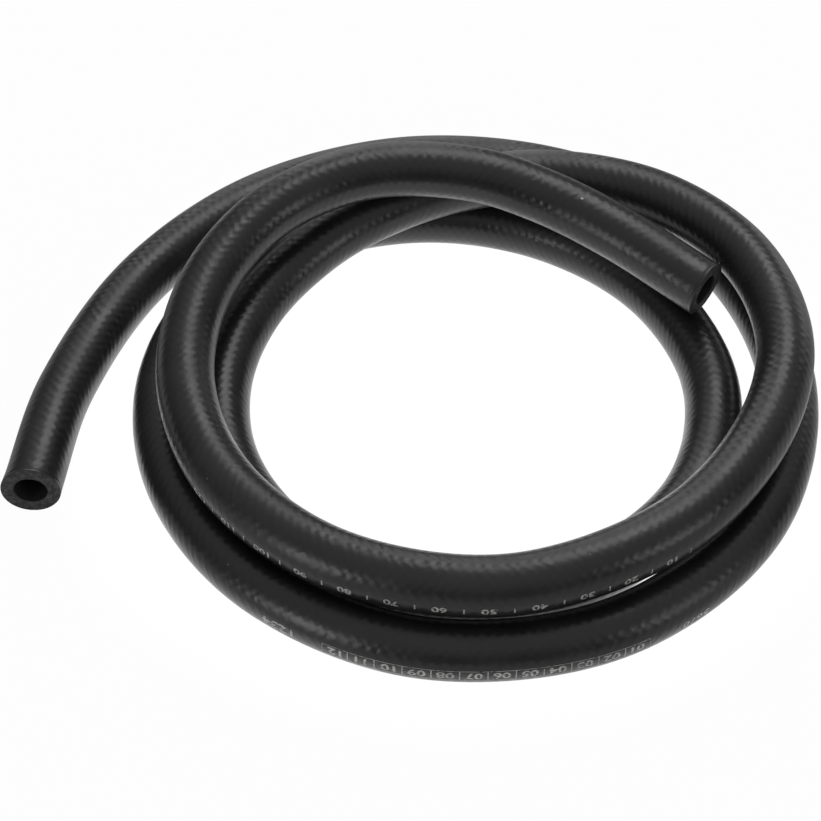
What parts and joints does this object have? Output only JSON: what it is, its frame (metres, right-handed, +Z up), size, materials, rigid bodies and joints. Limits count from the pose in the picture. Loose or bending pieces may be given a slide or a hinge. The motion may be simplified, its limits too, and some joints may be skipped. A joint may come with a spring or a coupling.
{
  "type": "fuel hose",
  "caption": "Flexible rubber fuel hose with a round braided section and an open bore, lying in a loose flat coil with both cut ends free.",
  "frame": {"origin": "on the floor, under the middle of the hose's bounding box", "axes": "+Z up from the floor the coil lies on, +X to the coil's right and +Y to its back, with the lower cut end at the front left"},
  "size_m": [0.1968, 0.1806, 0.0413],
  "materials": {
    "rubber": "satin black with a braid showing through the cover"
  },
  "bodies": {
    "root": {"hose": "rubber"}
  },
  "joints": []
}
